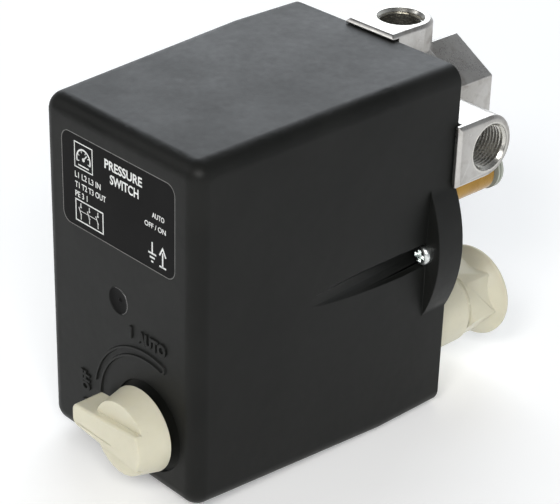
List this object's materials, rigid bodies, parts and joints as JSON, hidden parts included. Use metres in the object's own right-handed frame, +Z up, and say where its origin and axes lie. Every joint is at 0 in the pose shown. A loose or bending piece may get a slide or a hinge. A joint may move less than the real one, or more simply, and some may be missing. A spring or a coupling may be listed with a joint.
{
  "type": "pressure switch",
  "caption": "Pressure switch with a tall black cover, an off and auto selector knob, a ported pressure flange, cable glands and a relief valve.",
  "frame": {"origin": "centre of the main port, at the outer end of its thread", "axes": "+X to the right and +Z up as seen from the selector knob, +Y to the back, out of the main port"},
  "size_m": [0.0946, 0.169, 0.132],
  "materials": {
    "cover_black": "moulded black plastic, fine satin grain",
    "label_film": "printed black film",
    "cream_plastic": "cream moulded plastic, satin",
    "spring_steel": "bright spring steel",
    "zinc_steel": "bright zinc plating",
    "grey_plastic": "moulded grey plastic",
    "black_steel": "black powder coat",
    "black_rubber": "smooth rubber",
    "cast_alloy": "bright machined casting",
    "block_plastic": "moulded dark plastic",
    "contact_brass": "plain brass strip",
    "brass": "turned brass",
    "collar_grey": "grey green moulded plastic"
  },
  "bodies": {
    "case": {"cover": "cover_black", "rating_label": "label_film", "base_plate": "black_steel", "cover_gasket": "black_rubber", "pressure_flange": "cast_alloy", "flange_screws": "zinc_steel", "diaphragm": "black_rubber", "lever_pivot_pin": "spring_steel", "spring_frame": "zinc_steel", "frame_screws": "zinc_steel", "main_spring": "spring_steel", "differential_spring": "spring_steel", "contact_block": "block_plastic", "block_screws": "zinc_steel", "terminal_screws": "zinc_steel", "earth_screw": "zinc_steel", "earth_clamp": "contact_brass", "cover_screws": "zinc_steel", "relief_valve_body": "brass", "relief_valve_locknut": "brass", "relief_tube_stop": "brass", "relief_spring": "spring_steel", "line_contact_1": "contact_brass", "load_contact_1": "contact_brass", "line_contact_2": "contact_brass", "load_contact_2": "contact_brass", "line_contact_3": "contact_brass", "load_contact_3": "contact_brass", "gland_body_left": "cream_plastic", "gland_nut_left": "cream_plastic", "gland_seal_left": "black_rubber", "gland_locknut_left": "cream_plastic", "gland_body_right": "cream_plastic", "gland_nut_right": "cream_plastic", "gland_seal_right": "black_rubber", "gland_locknut_right": "cream_plastic"},
    "selector": {"knob": "cream_plastic", "knob_clip": "spring_steel", "selector_shaft": "zinc_steel", "selector_cam": "grey_plastic"},
    "piston": {"piston": "grey_plastic"},
    "lever": {"pressure_lever": "zinc_steel"},
    "carrier": {"contact_carrier": "grey_plastic", "carrier_link_pin": "spring_steel", "contact_bridge_1": "contact_brass", "contact_bridge_2": "contact_brass", "contact_bridge_3": "contact_brass", "contact_spring_1": "spring_steel", "contact_spring_2": "spring_steel", "contact_spring_3": "spring_steel"},
    "relief_pin": {"relief_plunger": "brass"},
    "release_collar": {"relief_release_collar": "collar_grey"},
    "main_screw": {"main_setting_screw": "zinc_steel"},
    "main_seat": {"main_spring_seat": "zinc_steel"},
    "differential_screw": {"differential_setting_screw": "zinc_steel"},
    "differential_seat": {"differential_spring_seat": "zinc_steel"}
  },
  "joints": [
    {"name": "knob_turn", "type": "hinge", "parent": "case", "child": "selector", "pos_m": [0.0144, -0.1659, -0.0719], "axis": [0, 1, 0], "range_deg": [0, 90]},
    {"name": "piston_slide", "type": "slide", "parent": "case", "child": "piston", "axis": [0, 1, 0], "range_m": [0, 0.002], "deforming": ["diaphragm"]},
    {"name": "lever_tilt", "type": "hinge", "parent": "case", "child": "lever", "pos_m": [0, -0.0555, -0.0246], "axis": [-1, 0, 0], "range_deg": [0, 4.7], "deforming": ["main_spring", "differential_spring"]},
    {"name": "carrier_slide", "type": "slide", "parent": "case", "child": "carrier", "axis": [0, -1, 0], "range_m": [0, 0.00245]},
    {"name": "relief_pin_slide", "type": "slide", "parent": "case", "child": "relief_pin", "axis": [0, -1, 0], "range_m": [0, 0.00245], "deforming": ["relief_spring"]},
    {"name": "collar_release", "type": "slide", "parent": "case", "child": "release_collar", "axis": [0, -1, 0], "range_m": [0, 0.001], "stiffness_N_per_m": 400},
    {"name": "main_screw_turn", "type": "hinge", "parent": "case", "child": "main_screw", "pos_m": [0, -0.1283, 0], "axis": [0, 1, 0], "range_deg": [-1080, 360]},
    {"name": "main_seat_slide", "type": "slide", "parent": "case", "child": "main_seat", "axis": [0, 1, 0], "range_m": [-0.00125, 0.00375], "deforming": ["main_spring"]},
    {"name": "differential_screw_turn", "type": "hinge", "parent": "case", "child": "differential_screw", "pos_m": [0.021, -0.1283, 0], "axis": [0, 1, 0], "range_deg": [-1080, 360]},
    {"name": "differential_seat_slide", "type": "slide", "parent": "case", "child": "differential_seat", "axis": [0, 1, 0], "range_m": [-0.0008, 0.0024], "deforming": ["differential_spring"]}
  ],
  "couplings": [
    {"joint": "lever_tilt", "follows": "piston_slide", "rad_per_m": 40.65},
    {"joint": "carrier_slide", "follows": "piston_slide", "ratio": 1.2195},
    {"joint": "relief_pin_slide", "follows": "piston_slide", "ratio": 1.2195},
    {"joint": "main_screw_turn", "follows": "main_seat_slide", "rad_per_m": -5026.5},
    {"joint": "differential_screw_turn", "follows": "differential_seat_slide", "rad_per_m": -7854}
  ]
}
